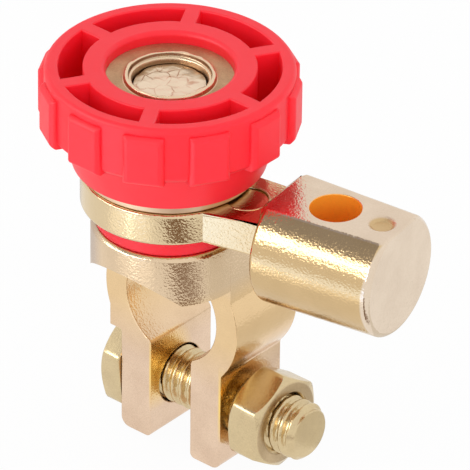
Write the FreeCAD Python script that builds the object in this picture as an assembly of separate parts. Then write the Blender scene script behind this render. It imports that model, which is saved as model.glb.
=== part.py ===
import FreeCAD, Part
import math
import os

# Battery terminal disconnect switch, modelled in millimetres.
# Origin: centre of the clamp eye, at the middle of the clamp's depth.
# +X runs along the clamp bolt towards its nut, +Y along the eye away from the knob's side,
# and +Z runs up the stud to the knob.

Vector = FreeCAD.Vector
X_AXIS = Vector(1, 0, 0)
Y_AXIS = Vector(0, 1, 0)
Z_AXIS = Vector(0, 0, 1)

# Clamp: one casting of a boss, a split ring round the eye and two ears
clamp_depth = 12.2
eye_radius = 7.65
ring_wall = 3.55
slit_width = 6.8
ear_thickness = 5.1
ear_drop = 21.85
ear_outer_round = 1.4
ear_inner_round = 0.8
ear_blend_radius = 1.2
pinch_round = 1.0
shoulder_reach = 10.5
shoulder_drop = 7.1
block_half_width = 10.1
block_back_round = 1.6
boss_radius = 10.1
boss_underside = 6.7
boss_height = 7.2
boss_edge_bevel = 0.45
arch_radius = 10.25
stud_axis_y = -6.5
stud_socket_depth = 3.0

# Clamp bolt and nut, 5/16 inch with 18 threads an inch, head 1/2 inch across flats
bolt_axis_drop = 14.6
bolt_radius = 3.92
bolt_hole_clearance = 0.25
head_across_flats = 12.7
head_thickness = 3.4
head_turn = -6.0
nut_across_flats = 11.8
nut_thickness = 5.05
nut_stand_off = 1.1
nut_turn = 3.0
bolt_tip_beyond_nut = 3.95
bolt_tip_chamfer = 0.7
hex_sides = 6
face_circle_share = 0.94
chamfer_slope = 30.0

# Stud, 3/8 inch with 16 threads an inch, and the pieces stacked on it
stud_radius = 4.72
stud_below_knob_top = 2.5
stud_tip_chamfer = 0.35
insulator_radius = 9.6
insulator_thickness = 2.75
insulator_edge_bevel = 0.25
sleeve_radius = 6.45
ring_radius = 11.45
ring_thickness = 4.5
ring_edge_bevel = 0.25
disc_radius = 11.2
disc_thickness = 1.65
disc_edge_bevel = 0.2

# Replacement battery post carried by the ring
lug_turn = 8.3
plate_width = 10.5
plate_shift = -0.55
plate_reach = 17.0
ramp_foot_reach = 14.75
ramp_head_reach = 17.1
ramp_corner_side = -0.8
post_end_reach = 34.5
post_end_radius = 8.1
post_base_radius = 8.5
post_flat_height = 7.0
post_axis_rise = 0.1
post_end_bevel = 0.5
post_base_bevel = 0.5
cross_hole_radius = 3.3
cross_hole_reach = 24.8
dimple_radius = 1.9
dimple_floor_radius = 1.1
dimple_depth = 0.5
dimple_reach = 31.6
mark_radius = 2.85
mark_depth = 0.2
mark_reach = 12.1
mark_shift = -0.65

# Knob, one red moulding with a brass core
knob_height = 13.65
knob_wall_radius = 16.0
knob_wall_height = 7.9
knob_base_radius = 12.5
skirt_step = 1.6
knob_top_bevel = 0.4
knob_wall_foot_bevel = 0.6
grip_count = 12
grip_width = 5.3
grip_proud = 0.7
grip_root = 1.2
grip_drop = 1.1
grip_height = 7.0
grip_bevel = 0.5
pocket_count = 6
rim_wall = 1.8
hub_wall = 2.9
pocket_depth = 8.5
spoke_width = 2.1
spoke_turn = -1.0
recess_radius = 8.2
recess_depth = 1.65
recess_edge_bevel = 0.15
core_dish_depth = 0.35
collar_radius = 5.75
collar_rise = 0.45
collar_bevel = 0.2
collar_width = 0.4
countersink_depth = 0.9
core_groove_gap = 0.4

# Gaps between neighbours
running_gap = 0.05
seat_gap = 0.02

# How far a cutting shape runs past the piece that it cuts
overrun = 1.0

# Heights and reaches that follow from the sizes above
ring_outer_radius = eye_radius + ring_wall
half_slit = slit_width / 2
ear_face = half_slit + ear_thickness
boss_top = boss_underside + boss_height
insulator_bottom = boss_top
insulator_top = insulator_bottom + insulator_thickness
ring_bottom = insulator_top + running_gap
ring_top = ring_bottom + ring_thickness
disc_bottom = ring_top + running_gap
disc_top = disc_bottom + disc_thickness
knob_bottom = disc_top + running_gap
knob_top = knob_bottom + knob_height
stud_bottom = boss_top - stud_socket_depth
stud_top = knob_top - stud_below_knob_top
core_top = knob_top - recess_depth
skirt_top_radius = knob_wall_radius - skirt_step
pocket_outer_radius = knob_wall_radius - rim_wall
pocket_inner_radius = recess_radius + hub_wall
grip_radius = knob_wall_radius + grip_proud
post_axis_height = ring_bottom + post_axis_rise
stud_foot = Vector(0, stud_axis_y, 0)
bolt_centre = Vector(0, 0, -bolt_axis_drop)


def disc_at(radius, bottom, top):
    """Upright cylinder on the stud's axis between two heights."""
    return Part.makeCylinder(radius, top - bottom, stud_foot + Vector(0, 0, bottom), Z_AXIS)


def turned(points):
    """Solid turned about the stud's axis from (radius, height) corners."""
    corners = [Vector(radius, stud_axis_y, height) for radius, height in points]
    face = Part.Face(Part.makePolygon(corners + corners[:1]))
    return face.revolve(stud_foot, Z_AXIS, 360)


def rim(radius, bottom, top, bevel):
    """Outer corners of a disc with both of its edges bevelled, from the bottom up."""
    return [
        (radius - bevel, bottom),
        (radius, bottom + bevel),
        (radius, top - bevel),
        (radius - bevel, top),
    ]


def circles_at(shape, radius, height):
    """Round edges on the stud's axis that have this radius and height."""
    found = []
    for edge in shape.Edges:
        curve = edge.Curve
        if not isinstance(curve, Part.Circle):
            continue
        if abs(curve.Radius - radius) < 1e-4 and abs(curve.Center.z - height) < 1e-4:
            found.append(edge)
    return found


def edges_near(shape, points, reach=0.05):
    """Edges that pass within reach of any of the points."""
    found = []
    for point in points:
        spot = Part.Vertex(point)
        for edge in shape.Edges:
            if edge.distToShape(spot)[0] < reach and not any(edge.isSame(other) for other in found):
                found.append(edge)
    return found


def hexagon(across_flats, start_x, thickness, turn, chamfer_start, chamfer_end):
    """Hexagonal prism along the bolt, its chosen ends turned down by a cone."""
    corner_radius = across_flats / 2 / math.cos(math.pi / hex_sides)
    corners = []
    for index in range(hex_sides):
        angle = math.radians(turn + 360 / hex_sides * index)
        side = corner_radius * math.sin(angle)
        rise = corner_radius * math.cos(angle)
        corners.append(bolt_centre + Vector(start_x, side, rise))
    prism = Part.Face(Part.makePolygon(corners + corners[:1])).extrude(X_AXIS * thickness)
    flat_radius = across_flats / 2 * face_circle_share
    slope = math.tan(math.radians(chamfer_slope))
    full_radius = corner_radius + overrun
    cut = (full_radius - flat_radius) * slope
    end_x = start_x + thickness
    profile = []
    if chamfer_start:
        profile += [(start_x, 0), (start_x, flat_radius), (start_x + cut, full_radius)]
    else:
        profile += [(start_x, 0), (start_x, full_radius)]
    if chamfer_end:
        profile += [(end_x - cut, full_radius), (end_x, flat_radius), (end_x, 0)]
    else:
        profile += [(end_x, full_radius), (end_x, 0)]
    points = [bolt_centre + Vector(along, 0, out) for along, out in profile]
    envelope = Part.Face(Part.makePolygon(points + points[:1])).revolve(bolt_centre, X_AXIS, 360)
    return prism.common(envelope)


def arms():
    """Split ring, block, ears and shoulder, each an outline seen along the eye and pushed through the depth."""
    front = -clamp_depth / 2

    def plate(left, right, low, high):
        corners = [Vector(x, front, z) for x, z in ((left, low), (right, low), (right, high), (left, high))]
        return Part.Face(Part.makePolygon(corners + corners[:1])).extrude(Y_AXIS * clamp_depth)

    def disc(radius):
        return Part.makeCylinder(radius, clamp_depth, Vector(0, front, 0), Y_AXIS)

    slab = disc(ring_outer_radius).fuse([
        plate(-block_half_width, block_half_width, 0, boss_top),
        plate(-ear_face, ear_face, -ear_drop, 0),
        plate(-shoulder_reach, 0, -shoulder_drop, 0),
    ])
    slab = slab.cut([disc(eye_radius), plate(-half_slit, half_slit, -ear_drop - overrun, 0)]).removeSplitter()

    # Cast corners: ears, the pinch at the eye, the blend of ring into ear, and the block's back.
    ear_start = math.sqrt(ring_outer_radius ** 2 - ear_face ** 2)
    pinch = math.sqrt(eye_radius ** 2 - half_slit ** 2)
    for radius, spots in (
        (ear_outer_round, [(ear_face, -ear_drop), (-ear_face, -ear_drop)]),
        (ear_inner_round, [(half_slit, -ear_drop), (-half_slit, -ear_drop)]),
        (pinch_round, [(half_slit, -pinch), (-half_slit, -pinch)]),
        (ear_blend_radius, [(ear_face, -ear_start)]),
    ):
        corners = [Vector(x, 0, z) for x, z in spots]
        slab = slab.makeFillet(radius, edges_near(slab, corners))
    middle = (boss_top + ring_outer_radius) / 2
    corners = [Vector(side * block_half_width, clamp_depth / 2, middle) for side in (-1, 1)]
    slab = slab.makeFillet(block_back_round, edges_near(slab, corners))
    return slab


def clamp_body():
    """Boss and arms fused, with the arch under the boss, the stud socket and the bolt holes."""
    boss = disc_at(boss_radius, boss_underside, boss_top)
    boss_width = boss_radius * 2
    arch = Part.makeCylinder(arch_radius, boss_width,
                             Vector(0, -clamp_depth / 2 - boss_width, 0), Y_AXIS)
    boss = boss.cut(arch)
    eye_length = clamp_depth + boss_width
    eye = Part.makeCylinder(eye_radius, eye_length, Vector(0, -eye_length / 2, 0), Y_AXIS)
    slab = arms()
    trim = Part.makeBox(ring_outer_radius * 2, clamp_depth, boss_height + overrun,
                        Vector(-ring_outer_radius, -clamp_depth + stud_axis_y, boss_underside))
    slab = slab.cut(trim.cut(disc_at(boss_radius, 0, boss_top + overrun * 2)))
    body = boss.cut(eye).fuse(slab).removeSplitter()
    body = body.cut(disc_at(stud_radius + seat_gap, stud_bottom, boss_top + overrun))
    hole_radius = bolt_radius + bolt_hole_clearance
    hole_end = ear_face + overrun
    hole = Part.makeCylinder(hole_radius, hole_end * 2, bolt_centre - X_AXIS * hole_end, X_AXIS)
    body = body.cut(hole)
    return body.makeChamfer(boss_edge_bevel, circles_at(body, boss_radius, boss_top))


def switch_stud():
    """Threaded post standing in the boss; its thread is left plain here."""
    return turned([
        (0, stud_bottom),
        (stud_radius, stud_bottom),
        (stud_radius, stud_top - stud_tip_chamfer),
        (stud_radius - stud_tip_chamfer, stud_top),
        (0, stud_top),
    ])


def insulator():
    """Flanged insulating bush: a flange under the ring and a sleeve inside it."""
    sleeve_top = ring_top - running_gap
    bore = stud_radius + seat_gap
    flange = rim(insulator_radius, insulator_bottom, insulator_top, insulator_edge_bevel)
    sleeve = [(sleeve_radius, insulator_top), (sleeve_radius, sleeve_top), (bore, sleeve_top)]
    return turned([(bore, insulator_bottom)] + flange + sleeve)


def lug_at(reach, side, height):
    """Point in the lug's own directions before it is turned to its place."""
    return stud_foot + Vector(reach, side, height)


def post_lug():
    """Ring, plate and tapered battery post, one casting."""
    ring = turned([(0, ring_bottom)] + rim(ring_radius, ring_bottom, ring_top, ring_edge_bevel)
                  + [(0, ring_top)])
    plate_side = plate_shift - plate_width / 2
    plate = Part.makeBox(plate_reach, plate_width, ring_thickness, lug_at(0, plate_side, ring_bottom))

    # Tapered post: a turned cone along the lug, its rims bevelled, then cut flat on top.
    taper = (post_base_radius - post_end_radius) / (post_end_reach - plate_reach)
    profile = [
        (plate_reach, 0),
        (plate_reach, post_base_radius - post_base_bevel),
        (plate_reach + post_base_bevel, post_base_radius - post_base_bevel * taper),
        (post_end_reach - post_end_bevel, post_end_radius + post_end_bevel * taper),
        (post_end_reach, post_end_radius - post_end_bevel),
        (post_end_reach, 0),
    ]
    points = [lug_at(reach, 0, post_axis_height + radius) for reach, radius in profile]
    cone = Part.Face(Part.makePolygon(points + points[:1])).revolve(points[0], X_AXIS, 360)
    flat = post_axis_height + post_flat_height
    above = Part.makeBox(post_end_reach, post_base_radius * 2, post_base_radius,
                         lug_at(plate_reach - overrun, -post_base_radius, flat))
    cone = cone.cut(above)

    # Ramp from the plate up to the flat: its side profile, its slanted front corner in plan,
    # and no wider than the post.
    profile = [
        (ramp_foot_reach, ring_bottom),
        (ramp_foot_reach, ring_top),
        (ramp_head_reach, flat),
        (ramp_head_reach, ring_bottom),
    ]
    points = [lug_at(reach, plate_side, height) for reach, height in profile]
    ramp = Part.Face(Part.makePolygon(points + points[:1])).extrude(Y_AXIS * plate_width)
    plan = [
        (ramp_foot_reach, plate_side + plate_width),
        (ramp_foot_reach, ramp_corner_side),
        (ramp_head_reach, plate_side),
        (ramp_head_reach, plate_side + plate_width),
    ]
    points = [lug_at(reach, side, ring_bottom) for reach, side in plan]
    footprint = Part.Face(Part.makePolygon(points + points[:1])).extrude(Z_AXIS * (flat - ring_bottom))
    envelope = Part.makeCylinder(post_base_radius - post_base_bevel, post_end_reach,
                                 lug_at(0, 0, post_axis_height), X_AXIS)
    ramp = ramp.common(footprint).common(envelope)

    mark = Part.makeCylinder(mark_radius, mark_depth + overrun,
                             lug_at(mark_reach, mark_shift, ring_top - mark_depth), Z_AXIS)
    lug = ring.fuse(plate).cut(mark).fuse([cone, ramp]).removeSplitter()
    lug = lug.cut(disc_at(sleeve_radius + running_gap, ring_bottom - overrun, ring_top + overrun))
    hole_start = post_axis_height - post_base_radius - overrun
    hole = Part.makeCylinder(cross_hole_radius, flat + overrun - hole_start,
                             lug_at(cross_hole_reach, 0, hole_start), Z_AXIS)
    lug = lug.cut(hole)
    dimple = Part.makeCone(dimple_floor_radius, dimple_radius, dimple_depth,
                           lug_at(dimple_reach, 0, flat - dimple_depth), Z_AXIS)
    lug = lug.cut(dimple)
    lug.rotate(stud_foot, Z_AXIS, lug_turn)
    return lug


def contact_disc():
    """Brass contact disc that the knob presses on the ring."""
    bore = stud_radius + running_gap
    edge = rim(disc_radius, disc_bottom, disc_top, disc_edge_bevel)
    return turned([(bore, disc_bottom)] + edge + [(bore, disc_top)])


def grip_pad():
    """One grip pad standing out of the knob's wall, its outer edges bevelled."""
    top = knob_top - grip_drop
    inner = knob_wall_radius - grip_root
    pad = Part.makeBox(grip_radius - inner, grip_width, grip_height,
                       stud_foot + Vector(inner, -grip_width / 2, top - grip_height))
    outer = grip_radius
    half = grip_width / 2
    middle = top - grip_height / 2
    spots = [Vector(outer, stud_axis_y + half, middle), Vector(outer, stud_axis_y - half, middle),
             Vector(outer, stud_axis_y, top), Vector(outer, stud_axis_y, top - grip_height)]
    return pad.makeChamfer(grip_bevel, edges_near(pad, spots))


def pocket():
    """One pocket between two spokes, its side walls parallel to the spokes' middles."""
    start = knob_top - pocket_depth
    height = pocket_depth + overrun
    blank = disc_at(pocket_outer_radius, start, start + height)
    blank = blank.cut(disc_at(pocket_inner_radius, start - overrun, start + height + overrun))
    wedge_reach = pocket_outer_radius * 2
    half_angle = math.radians(180 / pocket_count)
    offset = spoke_width / 2 / math.sin(half_angle)
    corners = [
        Vector(offset, stud_axis_y, start),
        Vector(offset + wedge_reach * math.cos(half_angle),
               stud_axis_y - wedge_reach * math.sin(half_angle), start),
        Vector(offset + wedge_reach * math.cos(half_angle),
               stud_axis_y + wedge_reach * math.sin(half_angle), start),
    ]
    wedge = Part.Face(Part.makePolygon(corners + corners[:1])).extrude(Z_AXIS * height)
    return blank.common(wedge)


def knob():
    """Moulded knob: a turned body with grip pads, pockets, spokes and a bored hub."""
    wall_foot = knob_top - knob_wall_height
    body = turned([
        (0, knob_bottom),
        (knob_base_radius, knob_bottom),
        (skirt_top_radius, wall_foot),
        (knob_wall_radius - knob_wall_foot_bevel, wall_foot),
        (knob_wall_radius, wall_foot + knob_wall_foot_bevel),
        (knob_wall_radius, knob_top - knob_top_bevel),
        (knob_wall_radius - knob_top_bevel, knob_top),
        (0, knob_top),
    ])
    pads = []
    for index in range(grip_count):
        pad = grip_pad()
        pad.rotate(stud_foot, Z_AXIS, spoke_turn + 360 / grip_count * index)
        pads.append(pad)
    body = body.fuse(pads).removeSplitter()
    cuts = []
    for index in range(pocket_count):
        shape = pocket()
        shape.rotate(stud_foot, Z_AXIS, spoke_turn + 360 / pocket_count * (index + 0.5))
        cuts.append(shape)
    cuts.append(disc_at(recess_radius, knob_bottom - overrun, knob_top + overrun))
    body = body.cut(cuts)
    return body.makeChamfer(recess_edge_bevel, circles_at(body, recess_radius, knob_top))


def knob_core():
    """Brass core moulded into the knob, with a dished face and a rounded collar on top."""
    outer = recess_radius - seat_gap
    bore = stud_radius + running_gap
    collar_top = core_top + collar_rise
    dish = core_top - core_dish_depth
    return turned([
        (bore, knob_bottom),
        (outer, knob_bottom),
        (outer, core_top),
        (collar_radius + core_groove_gap, dish),
        (collar_radius, dish),
        (collar_radius, collar_top - collar_bevel),
        (collar_radius - collar_bevel, collar_top),
        (collar_radius - collar_width, collar_top),
        (bore, collar_top - countersink_depth),
    ])


def clamp_bolt():
    """Hexagon-head bolt through both ears; its thread is left plain here."""
    seat = -ear_face - running_gap
    tip = ear_face + nut_stand_off + nut_thickness + bolt_tip_beyond_nut
    head = hexagon(head_across_flats, seat - head_thickness, head_thickness, head_turn, True, False)
    shank = [
        (seat - head_thickness / 2, 0),
        (seat - head_thickness / 2, bolt_radius),
        (tip - bolt_tip_chamfer, bolt_radius),
        (tip, bolt_radius - bolt_tip_chamfer),
        (tip, 0),
    ]
    points = [bolt_centre + Vector(along, 0, out) for along, out in shank]
    rod = Part.Face(Part.makePolygon(points + points[:1])).revolve(bolt_centre, X_AXIS, 360)
    return head.fuse(rod).removeSplitter()


def clamp_nut():
    """Hexagon nut against the right ear."""
    seat = ear_face + nut_stand_off
    nut = hexagon(nut_across_flats, seat, nut_thickness, nut_turn, True, True)
    hole_start = bolt_centre + X_AXIS * (seat - overrun)
    hole_length = nut_thickness + overrun * 2
    return nut.cut(Part.makeCylinder(bolt_radius + running_gap, hole_length, hole_start, X_AXIS))


pieces = {
    "clamp_body": clamp_body,
    "switch_stud": switch_stud,
    "insulator": insulator,
    "post_lug": post_lug,
    "contact_disc": contact_disc,
    "knob": knob,
    "knob_core": knob_core,
    "clamp_bolt": clamp_bolt,
    "clamp_nut": clamp_nut,
}

os.makedirs("parts", exist_ok=True)
for node, make in pieces.items():
    shape = make()
    if len(shape.Solids) == 1:
        shape = shape.Solids[0]
    box = shape.BoundBox
    print(node, "solids", len(shape.Solids), "valid", shape.isValid(), "volume", round(shape.Volume, 1),
          "box", [round(v, 2) for v in (box.XMin, box.YMin, box.ZMin, box.XMax, box.YMax, box.ZMax)])
    shape.exportStep("parts/" + node + ".step")
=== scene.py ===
import math

import bmesh
import bpy
import numpy as np
from mathutils import Matrix


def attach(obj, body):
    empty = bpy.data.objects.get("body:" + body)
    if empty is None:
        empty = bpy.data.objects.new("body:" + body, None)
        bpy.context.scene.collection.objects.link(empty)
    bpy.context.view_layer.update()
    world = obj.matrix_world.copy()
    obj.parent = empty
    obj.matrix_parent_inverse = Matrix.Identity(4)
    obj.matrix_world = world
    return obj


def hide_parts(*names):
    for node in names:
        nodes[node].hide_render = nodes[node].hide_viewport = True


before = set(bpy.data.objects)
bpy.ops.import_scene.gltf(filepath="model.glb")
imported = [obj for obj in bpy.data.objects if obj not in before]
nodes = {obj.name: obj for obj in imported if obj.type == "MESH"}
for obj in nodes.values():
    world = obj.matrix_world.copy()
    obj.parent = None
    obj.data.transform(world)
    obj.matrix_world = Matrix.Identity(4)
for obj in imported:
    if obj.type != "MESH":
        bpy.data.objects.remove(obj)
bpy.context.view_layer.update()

# Camera at the photograph's angle
# A long lens about 0.88 m away, 32 degrees above the eye of the clamp and 40 degrees round from
# its open side. The turn about the line of sight is under one degree.
view_turn = math.radians(40.07)
view_rise = math.radians(32.22)
view_roll = math.radians(0.72)
view_distance = 0.8793
aim_right = 0.00428
aim_up = 0.00693
lens_in_pixels = 6772.0
frame_pixels = 470.0
sensor_mm = 36.0
nearest_seen = 0.01
farthest_seen = 20.0

right = np.array([math.cos(view_turn), math.sin(view_turn), 0.0])
back = np.array([
    math.sin(view_turn) * math.cos(view_rise),
    -math.cos(view_turn) * math.cos(view_rise),
    math.sin(view_rise),
])
up = np.cross(back, right)
turn = np.eye(4)
turn[:3, 0] = right * math.cos(view_roll) + up * math.sin(view_roll)
turn[:3, 1] = up * math.cos(view_roll) - right * math.sin(view_roll)
turn[:3, 2] = back
turn[:3, 3] = right * aim_right + up * aim_up + back * view_distance

camera_data = bpy.data.cameras.new("photo_camera")
camera_data.sensor_width = sensor_mm
camera_data.lens = lens_in_pixels / frame_pixels * sensor_mm
camera_data.clip_start = nearest_seen
camera_data.clip_end = farthest_seen
camera = bpy.data.objects.new("photo_camera", camera_data)
camera.matrix_world = Matrix(turn.tolist())
bpy.context.scene.collection.objects.link(camera)
bpy.context.scene.camera = camera


# Clamp body
# One brass casting of boss, split ring and two ears, with a thin pale gold plate over the grain
# of the mould. Its outer corners are rounded a little by tumbling, and they catch the light.
mm = 0.001
cast_corner = 0.21 * mm
corner_steps = 3
whole_face_angle = math.radians(0.3)
corner_angle = math.radians(22)
smooth_angle = math.radians(38)
merge_distance = 0.001 * mm
boss_foot_front = -7.0
boss_foot_low = 4.5
boss_foot_high = 11.5
arm_side = 9.5
arm_front = -5.5

cast_grain = 3300.0
cast_grain_depth = 0.000036
cast_speckle = 5200.0
cast_patch = 240.0
speck_harshness = 0.7
mottle_range = (0.35, 0.65)
ears_pale = (0.84, 0.63, 0.46)
ears_dull = (0.71, 0.515, 0.37)
ring_pale = (0.85, 0.61, 0.34)
ring_dull = (0.78, 0.55, 0.30)
boss_pale = (0.79, 0.60, 0.40)
boss_dull = (0.70, 0.53, 0.35)
ears_to_ring = (-10.0 * mm, -2.0 * mm)
ring_to_boss = (5.0 * mm, 8.0 * mm)
# Painted shade: the boss's left side is blended towards a darker colour where less light falls.
boss_painted_shade = (0.50, 0.38, 0.29)
shade_share = 0.8
shade_leftward = (-3.0 * mm, -5.5 * mm)
shade_upward = (6.0 * mm, 9.0 * mm)
# Painted reflection: amber painted on the ears near the bolt, inside the left ear and outside the right
# one.
painted_amber_reflection = (1.0, 0.70, 0.23)
amber_middle = (0.0, -4.0 * mm, -11.6 * mm)
amber_reach = (6.5 * mm, 2.0 * mm)
left_ear_inside = (-3.2 * mm, -3.35 * mm)
left_ear_depth = (-3.7 * mm, -3.5 * mm)
right_ear_outside = (8.1 * mm, 8.4 * mm)
cast_roughness = 0.11
patch_roughness = 0.10
shade_roughness = 0.15
amber_roughness = 0.06


class Wire:
    """One output of a node. Sums, differences and products of wires and numbers add Math nodes."""

    def __init__(self, tree, socket):
        self.tree, self.socket = tree, socket

    def joined(self, operation, first, second):
        """One Math node on two wires or numbers."""
        node = self.tree.nodes.new("ShaderNodeMath")
        node.operation = operation
        for slot, value in zip(node.inputs, (first, second)):
            if isinstance(value, Wire):
                self.tree.links.new(value.socket, slot)
            else:
                slot.default_value = value
        return Wire(self.tree, node.outputs[0])

    def __add__(self, other):
        return self.joined("ADD", self, other)

    def __radd__(self, other):
        return self.joined("ADD", other, self)

    def __sub__(self, other):
        return self.joined("SUBTRACT", self, other)

    def __rsub__(self, other):
        return self.joined("SUBTRACT", other, self)

    def __mul__(self, other):
        return self.joined("MULTIPLY", self, other)

    def __rmul__(self, other):
        return self.joined("MULTIPLY", other, self)


class Nodes:
    """A node tree, and the one way in which nodes other than sums are put into it."""

    def __init__(self, tree):
        self.tree = tree

    def add(self, kind, settings=None, sockets=None, output=0):
        """One node of any kind: its settings are set first, then its sockets get values or wires."""
        node = self.tree.nodes.new(kind)
        for key, value in (settings or {}).items():
            setattr(node, key, value)
        self.wire(node, sockets or {})
        return Wire(self.tree, node.outputs[output])

    def wire(self, node, sockets):
        """Values or wires for sockets, which go by name or by number."""
        for key, value in sockets.items():
            if isinstance(value, Wire):
                self.tree.links.new(value.socket, node.inputs[key])
            else:
                node.inputs[key].default_value = value


class Finish(Nodes):
    """A material with one Principled shader."""

    def __init__(self, name):
        self.material = bpy.data.materials.new(name)
        self.material.use_nodes = True
        super().__init__(self.material.node_tree)
        self.shader = self.tree.nodes["Principled BSDF"]
        self.output = self.tree.nodes["Material Output"]
        self.place = self.add("ShaderNodeTexCoord", output="Object")

    def noise(self, scale, detail=2.0, roughness=0.5):
        """Noise on Object coordinates, in waves a metre."""
        return self.add("ShaderNodeTexNoise", sockets={
            "Vector": self.place, "Scale": scale, "Detail": detail, "Roughness": roughness})

    def along(self, axis):
        """Place along X, Y or Z, by its number."""
        return self.add("ShaderNodeSeparateXYZ", sockets={0: self.place}, output=axis)

    def away_from(self, point, axis_off):
        """Distance from a line through a point, where axis_off is 0 along the line and 1 across."""
        arm = self.add("ShaderNodeVectorMath", {"operation": "SUBTRACT"}, {0: self.place, 1: point})
        arm = self.add("ShaderNodeVectorMath", {"operation": "MULTIPLY"}, {0: arm, 1: axis_off})
        return self.add("ShaderNodeVectorMath", {"operation": "LENGTH"}, {0: arm}, output="Value")

    def between(self, wire, low, high):
        """The wire's values from low to high spread over 0 to 1, and held beyond."""
        return self.add("ShaderNodeMapRange", sockets={"Value": wire, "From Min": low, "From Max": high})

    def mottle(self, patch, speckle, patch_share=0.5):
        """Broad patches and fine specks added and stretched to the full range from 0 to 1."""
        return self.between(patch_share * patch + (1 - patch_share) * speckle, *mottle_range)

    def blend(self, share, first, second):
        """Colour that goes from first to second as share goes from 0 to 1. A Mix node's colours are
        its sockets 6 and 7, and the mixed colour is its output 2."""
        colours = {6: first, 7: second}
        sockets = {key: value if isinstance(value, Wire) else (*value, 1.0)
                   for key, value in colours.items()}
        return self.add("ShaderNodeMix", {"data_type": "RGBA"}, {0: share, **sockets}, output=2)

    def bump(self, height, depth):
        """Surface normal tilted by a height that is 1 at a depth in metres."""
        return self.add("ShaderNodeBump", sockets={
            "Strength": 1.0, "Distance": depth, "Height": height}, output="Normal")

    def principled(self, **sockets):
        """The shader's sockets by their names, with underscores for spaces."""
        self.wire(self.shader, {key.replace("_", " "): value for key, value in sockets.items()})
        return self.material


def dressed(piece, material):
    """The piece gets the material in place of any other."""
    piece.data.materials.clear()
    piece.data.materials.append(material)
    return piece


def fitted(piece, node, body):
    """The piece takes a CAD node's place on its body."""
    bpy.context.scene.collection.objects.link(piece)
    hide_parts(node)
    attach(piece, body)
    return piece


def plain_copy(node, change=None):
    """Copy of a CAD piece's mesh without its shading marks, its points changed in mm if asked."""
    mesh = nodes[node].data.copy()
    for name in ("custom_normal", "sharp_edge", "sharp_face"):
        if name in mesh.attributes:
            mesh.attributes.remove(mesh.attributes[name])
    if change:
        points = np.empty(len(mesh.vertices) * 3)
        mesh.vertices.foreach_get("co", points)
        mesh.vertices.foreach_set("co", (change(points.reshape(-1, 3) / mm) * mm).ravel())
    return mesh


def softened(node, body, corner, change=None, spared=None):
    """Copy of a CAD piece: its triangles are merged into whole faces, and each outer corner
    sharper than corner_angle is rounded to a strip as wide as corner, apart from spared ones."""
    mesh = plain_copy(node, change)
    form = bmesh.new()
    form.from_mesh(mesh)
    bmesh.ops.remove_doubles(form, verts=form.verts[:], dist=merge_distance)
    bmesh.ops.dissolve_limit(
        form, angle_limit=whole_face_angle, verts=form.verts[:], edges=form.edges[:])
    corners = [edge for edge in form.edges if edge.is_convex
               and edge.calc_face_angle(0.0) > corner_angle and not (spared and spared(edge))]
    bmesh.ops.bevel(form, geom=corners, offset=corner, offset_type="OFFSET", segments=corner_steps,
                    profile=0.5, affect="EDGES", clamp_overlap=False)
    form.to_mesh(mesh)
    form.free()
    mesh.polygons.foreach_set("use_smooth", np.ones(len(mesh.polygons), bool))
    mesh.set_sharp_from_angle(angle=smooth_angle)
    piece = bpy.data.objects.new(node + "_finished", mesh)
    shading = piece.modifiers.new("even_shading", "WEIGHTED_NORMAL")
    shading.keep_sharp = True
    return fitted(piece, node, body)


def cast_clamp():
    """Pale plate, a little different on ears, ring and boss, and darkened by painted shade on the
    boss's left side. It is painted amber near the bolt, inside the left ear and outside the right
    one, as a painted reflection."""
    finish = Finish("cast_clamp")
    grain = finish.noise(cast_grain, 1.0)
    speckle = finish.noise(cast_speckle, 2.0, speck_harshness)
    patch = finish.noise(cast_patch, 3.0)
    mottle = finish.mottle(patch, speckle)
    across = finish.along(0)
    height = finish.along(2)
    ears = finish.blend(mottle, ears_pale, ears_dull)
    ring = finish.blend(mottle, ring_pale, ring_dull)
    boss = finish.blend(mottle, boss_pale, boss_dull)
    pale = finish.blend(finish.between(height, *ears_to_ring), ears, ring)
    pale = finish.blend(finish.between(height, *ring_to_boss), pale, boss)
    # Painted shade on the boss's left side.
    shaded = finish.between(across, *shade_leftward) * finish.between(height, *shade_upward)
    pale = finish.blend(shade_share * shaded, pale, boss_painted_shade)
    # Painted amber reflection near the bolt, inside the left ear and outside the right one.
    near_bolt = finish.between(finish.away_from(amber_middle, (0.0, 1.0, 1.0)), *amber_reach)
    inner = finish.between(across, *left_ear_inside) * finish.between(across, *left_ear_depth)
    outer = finish.between(across, *right_ear_outside)
    amber = near_bolt * (inner + outer)
    return finish.principled(
        Base_Color=finish.blend(amber, pale, painted_amber_reflection),
        Metallic=1.0,
        Roughness=(cast_roughness + patch_roughness * patch
                   + shade_roughness * shaded + amber_roughness * amber),
        Normal=finish.bump(grain, cast_grain_depth),
    )


def boss_foot(edge):
    """True for the boss's lower edges, which meet the split ring at too fine an angle to round,
    and for the two upright ones that lie close beside its wall."""
    ends = [vertex.co / mm for vertex in edge.verts]
    front = min(end.y for end in ends) < boss_foot_front
    foot = front and boss_foot_low < min(end.z for end in ends) < boss_foot_high
    arm = all(abs(end.x) > arm_side and end.y < arm_front and end.z > boss_foot_low for end in ends)
    return foot or arm


clamp_body = softened("clamp_body", "clamp", cast_corner, spared=boss_foot)
dressed(clamp_body, cast_clamp())


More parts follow.
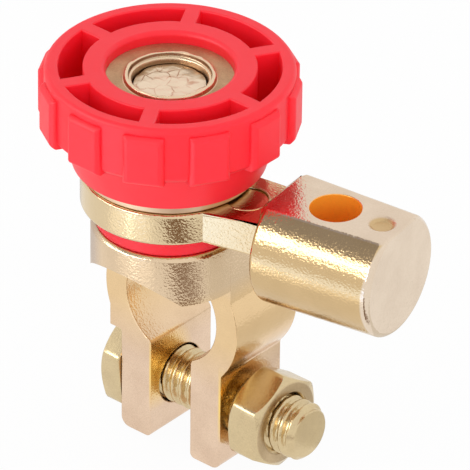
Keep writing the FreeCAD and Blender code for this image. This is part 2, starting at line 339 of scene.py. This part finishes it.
# Switch stud
# A 3/8 inch brass stud pressed into the boss. Its 16 threads an inch carry the knob, and its end
# is hammered over, so the thin plate on it is dented and cracked.
stud_radius = 4.72
stud_pitch = 25.4 / 16
stud_thread_depth = 0.5
stud_bottom = 10.9
stud_top = 34.1
stud_y = -6.5
stud_foot_inset = 0.6
thread_land = 0.14
thread_above_foot = 0.3
thread_below_end = 0.45
rows_a_pitch = 12
around = 144
end_rows = 26
end_first_share = 0.04
end_inset = 0.12
end_drop = 0.08
end_fall = 0.1
rim_waves = ((3, 1.0, 0.04), (7, 0.4, 0.03), (13, 0.0, 0.02))
dent_heights = (0.03, 0.012, 0.022)
dent_across = (1.1, 0.0, 0.6)
dent_along = (0.0, 1.4, -0.4)
ripple_wave = (3.4, -2.3, 0.0)
flake_wave = (1.3, -0.9, 2.0)
flake_cut = (1.7, 2.9, 0.0)
flake_cut_share = 0.55
flake_level = 0.25
flake_steepness = 9

stud_pale = (0.86, 0.70, 0.52)
stud_dull = (0.80, 0.62, 0.45)
stud_grain = 2600.0
stud_grain_depth = 0.00003
stud_patch = 500.0
stud_roughness = 0.22
stud_patch_roughness = 0.16
grain_harshness = 0.6
crack_colour = (0.55, 0.25, 0.15)
crack_share = 0.7
crack_depth_share = 1.2
crack_size = 430.0
crack_width = (0.045, 0.01)
crack_bend = (0.0016, 0.0016, 0.0)
crack_bend_size = 420.0
crack_gap_size = 260.0
crack_gaps = (0.46, 0.56)


def woven(name, rows, first_pole=None, last_pole=None):
    """Mesh over a grid of points in mm, rows by columns. Columns close round the axis. Each end
    closes in a fan to its pole, or without poles the last row joins the first. The faces are
    turned over if the volume inside them comes out negative."""
    count, columns = rows.shape[:2]
    points = rows.reshape(-1, 3)
    index = np.arange(count * columns).reshape(count, columns)
    if first_pole is None:
        index = np.vstack([index, index[:1]])
    low, high = index[:-1], index[1:]
    quads = np.stack([low, np.roll(low, -1, 1), np.roll(high, -1, 1), high], axis=-1).reshape(-1, 4)
    halves = [quads[:, (0, 1, 2)], quads[:, (0, 2, 3)]]
    faces = quads.tolist()
    if first_pole is not None:
        tip = len(points)
        points = np.vstack([points, first_pole, last_pole])
        start = np.stack([np.roll(index[0], -1), index[0], np.full(columns, tip)], axis=-1)
        end = np.stack([index[-1], np.roll(index[-1], -1), np.full(columns, tip + 1)], axis=-1)
        halves += [start, end]
        faces += start.tolist() + end.tolist()
    corners = points[np.vstack(halves)]
    volume = np.einsum("ij,ij->i", corners[:, 0], np.cross(corners[:, 1], corners[:, 2])).sum()
    if volume < 0:
        faces = [face[::-1] for face in faces]
    mesh = bpy.data.meshes.new(name)
    mesh.from_pydata((points * mm).tolist(), [], faces)
    mesh.polygons.foreach_set("use_smooth", np.ones(len(mesh.polygons), bool))
    mesh.set_sharp_from_angle(angle=smooth_angle)
    return bpy.data.objects.new(name, mesh)


def all_round(steps):
    """Angles of equal steps round a circle."""
    return np.arange(steps) * 2 * math.pi / steps


def thread_radius(along, angle, crest, pitch, depth):
    """Radius of a right-hand thread. A saw of one tooth a pitch, along and round, is held flat at
    its crest and root and eased between them."""
    phase = (along / pitch - angle / (2 * math.pi)) % 1.0
    saw = np.abs(2 * phase - 1)
    fall = np.clip((saw - thread_land) / (1 - 2 * thread_land), 0, 1)
    return crest - depth * fall * fall * (3 - 2 * fall)


def upright(radius, angle, height):
    """Points at a radius and angle round the stud's axis, at a height."""
    radius, angle, height = np.broadcast_arrays(radius, angle, height)
    return np.stack([radius * np.cos(angle), stud_y + radius * np.sin(angle), height], axis=-1)


def waved(angle, waves):
    """Sum of sines round a circle, each by its number of waves, its start and its height."""
    return sum(height * np.sin(count * angle + start) for count, start, height in waves)


def hammered(x, y):
    """Height of the dented end. Each wave is a sine of a plane over x and y. Two waves multiplied
    make dents, one makes ripples, and two added and cut off at a level make flat flakes."""
    def wave(over_x, over_y, start):
        return np.sin(over_x * x + over_y * y + start)

    dents = wave(*dent_across) * wave(*dent_along)
    flakes = wave(*flake_wave) + flake_cut_share * wave(*flake_cut) - flake_level
    heights = (dents, wave(*ripple_wave), np.tanh(flake_steepness * flakes))
    return sum(share * height for share, height in zip(dent_heights, heights))


def stud_surface():
    """Rows from the middle of the hammered end out to its wavy rim, then down the thread to the
    foot. The end falls towards its rim by the eighth power of the share of the radius."""
    angle = all_round(around)
    share = np.linspace(end_first_share, 1.0, end_rows)[:, None]
    reach = share * (stud_radius - end_inset + share * waved(angle, rim_waves))
    dents = hammered(reach * np.cos(angle), reach * np.sin(angle))
    end = upright(reach, angle, stud_top - end_drop + dents - end_fall * share ** 8)
    rows = int((stud_top - stud_bottom) / stud_pitch * rows_a_pitch)
    height = np.linspace(stud_top - thread_below_end, stud_bottom + thread_above_foot, rows)[:, None]
    thread = thread_radius(height, angle, stud_radius, stud_pitch, stud_thread_depth)
    side = upright(thread, angle, height)
    foot = upright(stud_radius - stud_foot_inset, angle, np.array([[stud_bottom]]))
    return woven("switch_stud_finished", np.vstack([end, side, foot]),
                 np.array([[0, stud_y, stud_top - end_drop + hammered(0, 0)]]),
                 np.array([[0, stud_y, stud_bottom]]))


def hammered_brass():
    """Pale plate that cracked into flakes as the end was hammered. The cracks are the borders of
    cells whose places are bent by noise, and other noise breaks them off here and there."""
    finish = Finish("hammered_brass")
    grain = finish.noise(stud_grain, 3.0, grain_harshness)
    patch = finish.noise(stud_patch, 3.0)
    bend = finish.add("ShaderNodeTexNoise", sockets={
        "Vector": finish.place, "Scale": crack_bend_size}, output="Color")
    bent = finish.add("ShaderNodeVectorMath", {"operation": "MULTIPLY_ADD"}, {
        0: bend, 1: crack_bend, 2: finish.place})
    border = finish.add("ShaderNodeTexVoronoi", {"feature": "DISTANCE_TO_EDGE"}, {
        "Vector": bent, "Scale": crack_size}, output="Distance")
    broken = finish.between(finish.noise(crack_gap_size, 1.0), *crack_gaps)
    crack = finish.between(border, *crack_width) * broken
    plate = finish.blend(patch, stud_pale, stud_dull)
    return finish.principled(
        Base_Color=finish.blend(crack_share * crack, plate, crack_colour),
        Metallic=1.0,
        Roughness=stud_roughness + stud_patch_roughness * patch,
        Normal=finish.bump(grain - crack_depth_share * crack, stud_grain_depth),
    )


stud = fitted(stud_surface(), "switch_stud", "clamp")
dressed(stud, hammered_brass())


# Insulating bush
# A red plastic flange under the lug's ring, with a sleeve inside the ring, so that the current can
# only pass by the contact disc. It is moulded in the same plastic as the knob.
moulded_corner = 0.2 * mm
plastic_red = (0.97, 0.014, 0.032)
plastic_deep_red = (0.95, 0.010, 0.026)
plastic_ripple = 420.0
plastic_grain = 2500.0
plastic_grain_share = 0.1
plastic_skin_depth = 0.00003
plastic_roughness = 0.42
ripple_roughness = 0.08
plastic_gloss = 0.5
light_inside = 0.35
light_inside_colour = (1.0, 0.12, 0.10)
light_inside_depth = 0.0025


def red_moulding():
    """Red plastic that light enters a little, with a slow ripple in its skin."""
    finish = Finish("red_moulding")
    ripple = finish.noise(plastic_ripple)
    grain = finish.noise(plastic_grain)
    return finish.principled(
        Base_Color=finish.blend(ripple, plastic_red, plastic_deep_red),
        Roughness=plastic_roughness + ripple_roughness * ripple,
        Specular_IOR_Level=plastic_gloss,
        Subsurface_Weight=light_inside,
        Subsurface_Radius=light_inside_colour,
        Subsurface_Scale=light_inside_depth,
        Normal=finish.bump(ripple + plastic_grain_share * grain, plastic_skin_depth),
    )


red_material = red_moulding()
insulator = softened("insulator", "clamp", moulded_corner)
dressed(insulator, red_material)


# Lug with the new post
# Ring, plate, ramp and tapered post are one brass casting, plated a little yellower than the
# The cross hole is painted amber inside, and a fine bead runs round the mark on the plate.
lug_turn = math.radians(8.3)
hole_reach = 24.8
hole_radius = 3.3
dimple_reach = 31.6
ring_radius = 11.45
ring_foot = 16.7
ring_top = 21.2
rim_chamfer = 0.25
plate_angle = math.radians(-29.5)
root_angle = math.radians(-35.75)
flat_height = 23.8
near = 0.02
mark_reach = 12.1
mark_side = -0.65
mark_radius = 2.85
lip_half_width = 0.13
lip_height = 0.1
lip_depth = 0.04
lip_buried = 0.02
lip_start = 11.3
lip_rise = 0.5
lip_steps = 96
lip_steps_across = 12

lug_pale = (0.76, 0.60, 0.37)
lug_dull = (0.70, 0.545, 0.33)
post_pale = (0.67, 0.475, 0.25)
post_dull = (0.61, 0.43, 0.22)
flat_pale = (0.77, 0.62, 0.475)
flat_dull = (0.69, 0.545, 0.41)
end_pale = (0.81, 0.67, 0.52)
end_dull = (0.73, 0.59, 0.45)
# Amber painted inside the cross hole, less metallic there.
hole_amber = (1.0, 0.43, 0.04)
ring_to_post = (11.3 * mm, 19.0 * mm)
side_to_flat = ((flat_height - 0.25) * mm, (flat_height - 0.1) * mm)
post_to_end = (34.25 * mm, 34.5 * mm)
hole_edge = ((hole_radius + 0.12) * mm, (hole_radius + 0.02) * mm)
dimple_edge = (1.95 * mm, 1.8 * mm)
hole_metal_loss = 0.75
lug_patch_share = 0.6
lug_roughness = 0.09
lug_patch_roughness = 0.08
dimple_roughness = 0.3


def on_lug(reach, side):
    """Place in plan of a point at a reach from the stud's axis along the lug, and at its side."""
    x = reach * math.cos(lug_turn) - side * math.sin(lug_turn)
    y = stud_y + reach * math.sin(lug_turn) + side * math.cos(lug_turn)
    return x, y


def cast_lug():
    """Yellow plate that is paler towards the ring, on the flat and on the post's end."""
    finish = Finish("cast_lug")
    grain = finish.noise(cast_grain, 1.0)
    speckle = finish.noise(cast_speckle, 2.0, speck_harshness)
    patch = finish.noise(cast_patch, 3.0)
    mottle = finish.mottle(patch, speckle, lug_patch_share)
    from_stud = finish.away_from((0.0, stud_y * mm, 0.0), (1.0, 1.0, 0.0))
    post = finish.blend(mottle, post_pale, post_dull)
    flat = finish.blend(mottle, flat_pale, flat_dull)
    post = finish.blend(finish.between(finish.along(2), *side_to_flat), post, flat)
    plate = finish.blend(mottle, lug_pale, lug_dull)
    plate = finish.blend(finish.between(from_stud, *ring_to_post), plate, post)
    end = finish.blend(mottle, end_pale, end_dull)
    colour = finish.blend(finish.between(from_stud, *post_to_end), plate, end)
    hole_x, hole_y = on_lug(hole_reach, 0.0)
    from_hole = finish.away_from((hole_x * mm, hole_y * mm, 0.0), (1.0, 1.0, 0.0))
    in_hole = finish.between(from_hole, *hole_edge)
    dimple_x, dimple_y = on_lug(dimple_reach, 0.0)
    from_dimple = finish.away_from((dimple_x * mm, dimple_y * mm, 0.0), (1.0, 1.0, 0.0))
    in_dimple = finish.between(from_dimple, *dimple_edge)
    return finish.principled(
        Base_Color=finish.blend(in_hole, colour, hole_amber),
        Metallic=1.0 - hole_metal_loss * in_hole,
        Roughness=lug_roughness + lug_patch_roughness * patch + dimple_roughness * in_dimple,
        Normal=finish.bump(grain, cast_grain_depth),
    )


def widened_root(points):
    """The plate's side leaves the ring earlier than on the plain solid: points of the ring's rim
    between the two places move back along the rim to the new one."""
    across = points[:, 1] - stud_y
    reach = points[:, 0] * math.cos(lug_turn) + across * math.sin(lug_turn)
    side = across * math.cos(lug_turn) - points[:, 0] * math.sin(lug_turn)
    radius, angle = np.hypot(reach, side), np.arctan2(side, reach)
    moved = (radius > ring_radius - rim_chamfer - near) & (radius < ring_radius + near)
    moved &= (angle > root_angle) & (angle < plate_angle)
    moved &= (points[:, 2] > ring_foot - near) & (points[:, 2] < ring_top + near)
    target = root_angle + lug_turn
    points[moved, 0] = radius[moved] * math.cos(target)
    points[moved, 1] = stud_y + radius[moved] * math.sin(target)
    return points


def mark_lip():
    """Round bead carried round the circle of the mark. It flattens out towards the disc's edge."""
    angle = all_round(lip_steps)
    turned = all_round(lip_steps_across)[:, None]
    reach = mark_reach + (mark_radius + lip_half_width * np.cos(turned)) * np.cos(angle)
    side = mark_side + (mark_radius + lip_half_width * np.cos(turned)) * np.sin(angle)
    clear = np.clip((np.hypot(reach, side) - lip_start) / lip_rise, 0, 1)
    height = ring_top - lip_depth + (lip_height * clear + lip_buried) * np.sin(turned)
    x, y = on_lug(reach, side)
    return woven("mark_lip", np.stack(np.broadcast_arrays(x, y, height), axis=-1))


lug = softened("post_lug", "lug", cast_corner, widened_root)
dressed(lug, cast_lug())
lip = mark_lip()
bpy.context.scene.collection.objects.link(lip)
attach(lip, "lug")
dressed(lip, lug.data.materials[0])


# Contact disc
# A turned brass washer between ring and knob, free on the stud. Its faces and rim keep the fine
# rings of the lathe under the same thin plate.
disc_corner = 0.12 * mm
disc_pale = (0.80, 0.58, 0.39)
disc_dull = (0.73, 0.52, 0.35)
turned_grain = 4200.0
turned_grain_depth = 0.00002
turned_patch = 420.0
lathe_rings = 26000.0
lathe_ring_share = 0.1
disc_roughness = 0.26
disc_patch_roughness = 0.16


def turned_disc():
    """Brass with rings, which are a sine of the distance from the stud's axis."""
    finish = Finish("turned_disc")
    from_stud = finish.away_from((0.0, stud_y * mm, 0.0), (1.0, 1.0, 0.0))
    rings = finish.add("ShaderNodeMath", {"operation": "SINE"}, {0: from_stud * lathe_rings})
    grain = finish.noise(turned_grain, 2.0, grain_harshness)
    patch = finish.noise(turned_patch, 3.0)
    return finish.principled(
        Base_Color=finish.blend(patch, disc_pale, disc_dull),
        Metallic=1.0,
        Roughness=disc_roughness + disc_patch_roughness * patch,
        Normal=finish.bump(grain + lathe_ring_share * rings, turned_grain_depth),
    )


disc = softened("contact_disc", "contact", disc_corner)
dressed(disc, turned_disc())


# Knob
# One red moulding with twelve grip pads on its wall, six pockets between spokes, and a bored hub.
# The mould rounds its outer corners, and the hub's inner edge the most.
knob_top = 36.6
knob_corner = 0.24 * mm
hub_bore = 8.2
hub_edge = 0.15
hub_rounding = 0.40
pad_foot = 28.6
pad_step = 0.15
pad_root = 15.5


def under_foot(edge):
    """True for the short steps where the pads' feet meet the wall's foot, too small to round."""
    ends = [vertex.co for vertex in edge.verts]
    inside = min(math.hypot(end.x, end.y - stud_y * mm) for end in ends) < pad_root * mm
    return inside and max(end.z for end in ends) < (pad_foot + pad_step) * mm


def opened_bore(points):
    """The two circles of the small chamfer at the hub's bore move apart to a wider one."""
    arm = points[:, :2] - (0.0, stud_y)
    reach = np.hypot(arm[:, 0], arm[:, 1])
    height = points[:, 2] - knob_top
    upper = (np.abs(reach - hub_bore - hub_edge) < near) & (np.abs(height) < near)
    lower = (np.abs(reach - hub_bore) < near) & (np.abs(height + hub_edge) < near)
    points[:, :2] += arm * (upper * (hub_rounding - hub_edge) / reach)[:, None]
    points[:, 2] -= lower * (hub_rounding - hub_edge)
    return points


knob_piece = softened("knob", "knob", knob_corner, opened_bore, under_foot)
dressed(knob_piece, red_material)


# Knob core
# A turned brass bush moulded into the knob. Its face is dished up to a rolled collar, and the
# collar's inside slopes down to the first turn of the thread.
core_profile = (
    (4.77, 22.95), (8.18, 22.95), (8.18, 34.95), (7.6, 34.78), (6.6, 34.66), (6.1, 34.64),
    (5.95, 34.7), (5.9, 34.95), (5.85, 35.18), (5.74, 35.28), (5.52, 35.3), (5.36, 35.24),
    (5.29, 35.08), (5.27, 34.84), (5.2, 34.76), (5.02, 34.74), (4.93, 34.66), (4.88, 34.4),
    (4.8, 34.0), (4.77, 33.7),
)
dish_height = 34.66
collar_height = 0.6
collar_reach = 6.2
collar_width = 0.3
collar_waves = ((4, 0.8, 0.025), (9, 2.0, 0.02), (17, 0.0, 0.01))

# Painted shade: the dished face lies down in the knob's recess, so its colours are darker and browner than
# the collar's.
shaded_face_pale = (0.58, 0.38, 0.21)
shaded_face_dull = (0.42, 0.26, 0.14)
collar_pale = (0.84, 0.65, 0.44)
collar_dull = (0.74, 0.55, 0.36)
# Painted shade in the groove inside the collar and in the mouth of the thread.
crease_shade_colour = (0.22, 0.12, 0.06)
crease_share = 0.85
face_to_collar = (6.1 * mm, 5.95 * mm)
groove_inside = (5.21 * mm, 5.28 * mm)
groove_outside = (5.40 * mm, 5.32 * mm)
thread_mouth = (4.94 * mm, 4.86 * mm)
core_roughness = 0.30
collar_polish = 0.08
core_patch_roughness = 0.12


def core_surface():
    """The profile carried round the stud's axis. Its collar waves a little, as a rolled edge does."""
    angle = all_round(around)
    profile = np.array(core_profile)
    radius, height = profile[:, :1], profile[:, 1:]
    risen = np.clip((height - dish_height) / collar_height, 0, 1)
    on_collar = risen * np.clip((collar_reach - radius) / collar_width, 0, 1)
    wave = on_collar * waved(angle, collar_waves)
    rows = upright(radius + wave, angle, height + wave)
    return woven("knob_core_finished", rows)


def core_brass():
    """Browner and darker on the dished face than on the collar, as painted shade down in the knob's
    recess, and painted shade in the two creases inside it.
    """
    finish = Finish("core_brass")
    grain = finish.noise(turned_grain, 2.0, grain_harshness)
    patch = finish.noise(turned_patch, 3.0)
    speckle = finish.noise(cast_speckle, 2.0, speck_harshness)
    from_stud = finish.away_from((0.0, stud_y * mm, 0.0), (1.0, 1.0, 0.0))
    # Painted shade on the dished face.
    face = finish.blend(finish.mottle(patch, speckle), shaded_face_pale, shaded_face_dull)
    collar = finish.blend(patch, collar_pale, collar_dull)
    on_collar = finish.between(from_stud, *face_to_collar)
    groove = finish.between(from_stud, *groove_inside) * finish.between(from_stud, *groove_outside)
    mouth = finish.between(from_stud, *thread_mouth)
    colour = finish.blend(on_collar, face, collar)
    return finish.principled(
        # Painted shade in the groove and the thread's mouth.
        Base_Color=finish.blend(crease_share * (groove + mouth), colour, crease_shade_colour),
        Metallic=1.0,
        Roughness=core_roughness - collar_polish * on_collar + core_patch_roughness * patch,
        Normal=finish.bump(grain, turned_grain_depth),
    )


core = fitted(core_surface(), "knob_core", "knob")
dressed(core, core_brass())


# Clamp bolt
# A 5/16 inch steel bolt with 18 threads an inch and a 1/2 inch hexagon head, zinc plated and
# passivated yellow. It passes both ears and draws them together.
bolt_z = -14.6
bolt_crest = 3.92
bolt_pitch = 25.4 / 18
bolt_thread_depth = 0.62
bolt_head_start = -11.95
bolt_seat = -8.55
bolt_tip = 18.6
bolt_tip_chamfer = 0.7
tip_rise = 0.03
seat_edge = 0.15
seat_gap = 0.1
head_across_flats = 12.7
head_turn = math.radians(-6.0)
face_circle_share = 0.94
chamfer_slope = math.tan(math.radians(30.0))
face_shares = (0.5, 0.97)
chamfer_shares = (0.0, 0.06, 0.5, 0.94)
tip_shares = (0.96, 0.5)
hex_rim_drop = 0.12
hex_edge_wear = 0.13

plating_pale = (0.72, 0.57, 0.33)
plating_dull = (0.62, 0.48, 0.28)
machined_pale = (0.58, 0.43, 0.25)
machined_dull = (0.44, 0.32, 0.18)
plating_grain = 3300.0
plating_grain_depth = 0.000022
plating_patch = 380.0
plating_speckle = 4300.0
plating_roughness = 0.16
plating_patch_roughness = 0.14
machined_roughness = 0.12


def along_bolt(along, radius, angle):
    """Points at a radius and angle round the bolt's axis, at a place along it."""
    along, radius, angle = np.broadcast_arrays(along, radius, angle)
    return np.stack([along, radius * np.sin(angle), bolt_z + radius * np.cos(angle)], axis=-1)


def hexagon_reach(angle, across_flats, turned):
    """From the axis to a hexagon's side: half its width over the cosine of the angle from the
    side's middle, with the corners worn off a little."""
    off = (angle - turned) % (math.pi / 3) - math.pi / 6
    reach = across_flats / 2 / np.cos(off)
    return np.minimum(reach, across_flats / 2 / math.cos(math.pi / 6) - hex_edge_wear)


def hexagon_end(angle, across_flats, turned, face, inward):
    """Rows from the face circle over the 30 degree chamfer to the side of a hexagon. The cone
    sinks inward, 1 or -1 along the axis, as the radius grows."""
    circle = across_flats / 2 * face_circle_share
    reach = hexagon_reach(angle, across_flats, turned)
    share = np.array(chamfer_shares)[:, None]
    radius = circle + share * (reach - circle)
    along = face + inward * chamfer_slope * (radius - circle)
    corner = face + inward * (chamfer_slope * (reach - circle) + hex_rim_drop)
    return np.vstack([along_bolt(along, radius, angle), along_bolt(corner, reach, angle)[None]])


def bolt_surface():
    """Rows from the middle of the head's face over its hexagon to the seat, then down the thread
    to the chamfered tip."""
    angle = head_turn + all_round(around)
    reach = hexagon_reach(angle, head_across_flats, head_turn)
    circle = head_across_flats / 2 * face_circle_share
    face = along_bolt(bolt_head_start, np.array(face_shares)[:, None] * circle, angle)
    head = hexagon_end(angle, head_across_flats, head_turn, bolt_head_start, 1)
    seat = np.vstack([
        along_bolt(bolt_seat - seat_edge, reach, angle)[None],
        along_bolt(bolt_seat, reach - seat_edge, angle)[None],
        along_bolt(bolt_seat, bolt_crest + seat_gap + 0 * angle, angle)[None],
    ])
    rows = int((bolt_tip - bolt_seat) / bolt_pitch * rows_a_pitch)
    along = np.linspace(bolt_seat + seat_gap, bolt_tip, rows)[:, None]
    thread = thread_radius(along, -angle, bolt_crest, bolt_pitch, bolt_thread_depth)
    cone = bolt_crest - np.clip(along - (bolt_tip - bolt_tip_chamfer), 0, None)
    rod = along_bolt(along, np.minimum(thread, cone), angle)
    tip_radius = np.array(tip_shares)[:, None] * (bolt_crest - bolt_tip_chamfer)
    end = along_bolt(bolt_tip + tip_rise, tip_radius, angle)
    return woven("clamp_bolt_finished", np.vstack([face, head, seat, rod, end]),
                 np.array([[bolt_head_start, 0, bolt_z]]),
                 np.array([[bolt_tip + tip_rise, 0, bolt_z]]))


def yellow_plate(name, machined_range=None):
    """Yellow passivation. Where a range of places along the bolt's axis is given, it is duller and
    greyer beyond it, as on a machined face."""
    finish = Finish(name)
    patch = finish.noise(plating_patch, 3.0)
    speckle = finish.noise(plating_speckle, 2.0, speck_harshness)
    grain = finish.noise(plating_grain, 2.0, grain_harshness)
    mottle = finish.mottle(patch, speckle)
    colour = finish.blend(mottle, plating_pale, plating_dull)
    roughness = plating_roughness + plating_patch_roughness * patch
    if machined_range:
        machined = finish.between(finish.along(0), *machined_range)
        colour = finish.blend(machined, colour, finish.blend(mottle, machined_pale, machined_dull))
        roughness = roughness + machined_roughness * machined
    return finish.principled(
        Base_Color=colour,
        Metallic=1.0,
        Roughness=roughness,
        Normal=finish.bump(grain, plating_grain_depth),
    )


bolt = fitted(bolt_surface(), "clamp_bolt", "bolt")
dressed(bolt, yellow_plate("bolt_plate"))


# Clamp nut
# A hexagon nut of the same yellow plating, chamfered on both faces and countersunk round its
# thread. It bears on the outside of the right ear.
nut_start = 9.6
nut_end = 14.65
nut_across_flats = 11.8
nut_turn = math.radians(3.0)
nut_outer_face = ((nut_end - 0.12) * mm, (nut_end - 0.02) * mm)
countersink_radius = 4.4
countersink_depth = 0.45
thread_gap = 0.06


def nut_surface():
    """Rows round the wall: out over the left face, along the side, in over the right face, and
    back through the countersinks and the thread."""
    angle = nut_turn + all_round(around)
    left = hexagon_end(angle, nut_across_flats, nut_turn, nut_start, 1)
    right_end = hexagon_end(angle, nut_across_flats, nut_turn, nut_end, -1)[::-1]
    rows = int((nut_end - nut_start) / bolt_pitch * rows_a_pitch)
    along = np.linspace(nut_end, nut_start, rows)[:, None]
    thread = thread_radius(along, -angle, bolt_crest, bolt_pitch, bolt_thread_depth) + thread_gap
    from_face = np.minimum(along - nut_start, nut_end - along)
    cone = countersink_radius - (countersink_radius - bolt_crest) / countersink_depth * from_face
    bore = along_bolt(along, np.maximum(thread, cone), angle)
    return woven("clamp_nut_finished", np.vstack([left, right_end, bore]))


nut = fitted(nut_surface(), "clamp_nut", "nut")
dressed(nut, yellow_plate("nut_plate", nut_outer_face))


# Studio
# A white table just under the clamp's ears in a pale room, two soft lamps, and the cards that a
# photographer puts round a shiny object. Patches on the table glow with painted light and painted
# shadow of the table. Only reflections show the cards and patches.
floor_height = -0.0225
floor_size = 6.0
paper_white = (0.86, 0.86, 0.86)
paper_seen = 0.95
paper_reflected = 0.9
room_light = 0.86
reflected_room = 1.0
cards_middle = (0.0, -0.0065, 0.019)
cards_distance = 0.5
card_columns = 9
card_rows = 5
table_card_height = -0.0222
lamp_distance = 0.9
lamp_width = 0.7
lamp_height = 0.4


def stage_sheet(name, points, faces):
    """Flat or bent sheet of the studio, which is no part of the object."""
    mesh = bpy.data.meshes.new(name)
    mesh.from_pydata(points, [], faces)
    sheet = bpy.data.objects.new(name, mesh)
    bpy.context.scene.collection.objects.link(sheet)
    return sheet


def glowing(finish, colour, strength):
    """Emission in place of the Principled shader's surface."""
    return finish.add("ShaderNodeEmission", sockets={"Color": (*colour, 1.0), "Strength": strength})


half = floor_size / 2
floor_corners = [(-half, -half, floor_height), (half, -half, floor_height),
                 (half, half, floor_height), (-half, half, floor_height)]
floor = stage_sheet("floor", floor_corners, [(0, 1, 2, 3)])
paper = Finish("paper")
paper.principled(Base_Color=(*paper_white, 1.0), Roughness=0.9)
camera_ray = paper.add("ShaderNodeLightPath", output="Is Camera Ray")
glossy_ray = paper.add("ShaderNodeLightPath", output="Is Glossy Ray")
white = paper.add("ShaderNodeMixShader", sockets={
    0: paper_seen * camera_ray + paper_reflected * glossy_ray,
    1: Wire(paper.tree, paper.shader.outputs[0]),
    2: glowing(paper, (1.0, 1.0, 1.0), 1.0),
})
paper.wire(paper.output, {0: white})
dressed(floor, paper.material)

world = bpy.data.worlds.new("pale_room")
bpy.context.scene.world = world
world.use_nodes = True
sky = Nodes(world.node_tree)
seen = (sky.add("ShaderNodeLightPath", output="Is Camera Ray")
        + sky.add("ShaderNodeLightPath", output="Is Glossy Ray"))
sky.wire(sky.tree.nodes["Background"], {
    "Color": (1.0, 1.0, 1.0, 1.0),
    "Strength": room_light + seen * (reflected_room - room_light),
})


def shown_in_gloss(sheet, name, colour, strength):
    """The sheet glows, and only reflections show it."""
    finish = Finish(name)
    finish.wire(finish.output, {0: glowing(finish, colour, strength)})
    dressed(sheet, finish.material)
    sheet.visible_camera = False
    sheet.visible_diffuse = False
    sheet.visible_shadow = False


def card(name, turns, rises, colour, strength):
    """Card that lies on a sphere round the ring, between two turns and two rises in degrees."""
    flat, steep = np.meshgrid(np.radians(np.linspace(*turns, card_columns)),
                              np.radians(np.linspace(*rises, card_rows)))
    toward = np.stack([np.cos(flat) * np.cos(steep), np.sin(flat) * np.cos(steep), np.sin(steep)], axis=-1)
    points = (np.array(cards_middle) + toward * cards_distance).reshape(-1, 3)
    index = np.arange(card_rows * card_columns).reshape(card_rows, card_columns)
    faces = np.stack([index[:-1, :-1], index[:-1, 1:], index[1:, 1:], index[1:, :-1]], axis=-1)
    sheet = stage_sheet(name, points.tolist(), faces.reshape(-1, 4).tolist())
    shown_in_gloss(sheet, name, colour, strength)


def table_light_and_shade(name, corners, colour, strength):
    """Glowing patch of painted table light and shade, lying on the table, its corners given in mm in plan.
    """
    points = [(x * mm, y * mm, table_card_height) for x, y in corners]
    sheet = stage_sheet(name, points, [tuple(range(len(corners)))])
    shown_in_gloss(sheet, name, colour, strength)


card("softbox_card", (-150, -84), (16, 33.5), (1.0, 1.0, 1.0), 4.5)
card("dark_card", (-145, -100), (38, 74), (0.97, 0.97, 1.1), 0.42)
card("dark_card_behind", (-200, -145), (54, 74), (1.0, 0.9, 0.8), 0.4)
# Brighter and darker patches of the table: painted light and painted shade that only reflections show.
table_light_and_shade("near_table", ((-45, -66), (-56, -95), (24, -95), (24, -66)), (1.0, 1.0, 0.98), 1.3)
table_light_and_shade("far_table", ((-56, -95), (-95, -200), (10, -230), (24, -95)), (1.0, 1.15, 1.45), 1.38)
table_light_and_shade("right_table", ((16, 8), (60, -3), (92, -5), (92, 28), (48, 36), (44, 58), (18, 55)),
           (1.0, 0.98, 0.93), 0.8)
table_light_and_shade("left_table", ((-30, 10), (-95, 14), (-95, 70), (-20, 75), (-12, 30)),
           (1.0, 0.98, 0.98), 0.82)
# Painted shadow on the table, which only reflections show.
table_light_and_shade("table_shadow_strip", ((47, -28), (47, -110), (92, -100), (69, -43), (61, -8), (54, -8)),
           (1.0, 0.62, 0.4), 0.25)
# Painted pool of light on the table, which only reflections show.
table_light_and_shade("table_light_strip", ((-17, -100), (-12, -77), (-6, -77), (-9, -100)), (1.0, 1.0, 1.0), 4.0)


def lamp(name, direction, power):
    """Soft lamp at lamp_distance in a direction from the origin, turned towards the origin."""
    light = bpy.data.lights.new(name, "AREA")
    light.shape = "RECTANGLE"
    light.size = lamp_width
    light.size_y = lamp_height
    light.energy = power
    holder = bpy.data.objects.new(name, light)
    away = np.array(direction) / np.linalg.norm(direction)
    side = np.cross((0.0, 0.0, 1.0), away)
    side = side / np.linalg.norm(side)
    matrix = np.eye(4)
    matrix[:3, 0] = side
    matrix[:3, 1] = np.cross(away, side)
    matrix[:3, 2] = away
    matrix[:3, 3] = away * lamp_distance
    holder.matrix_world = Matrix(matrix.tolist())
    holder.visible_glossy = False
    bpy.context.scene.collection.objects.link(holder)


lamp("left_softbox", (-0.5, -0.8, 0.35), 1.6)
lamp("right_softbox", (0.8, -0.5, 0.3), 2.2)

bpy.context.scene.view_settings.view_transform = "Standard"
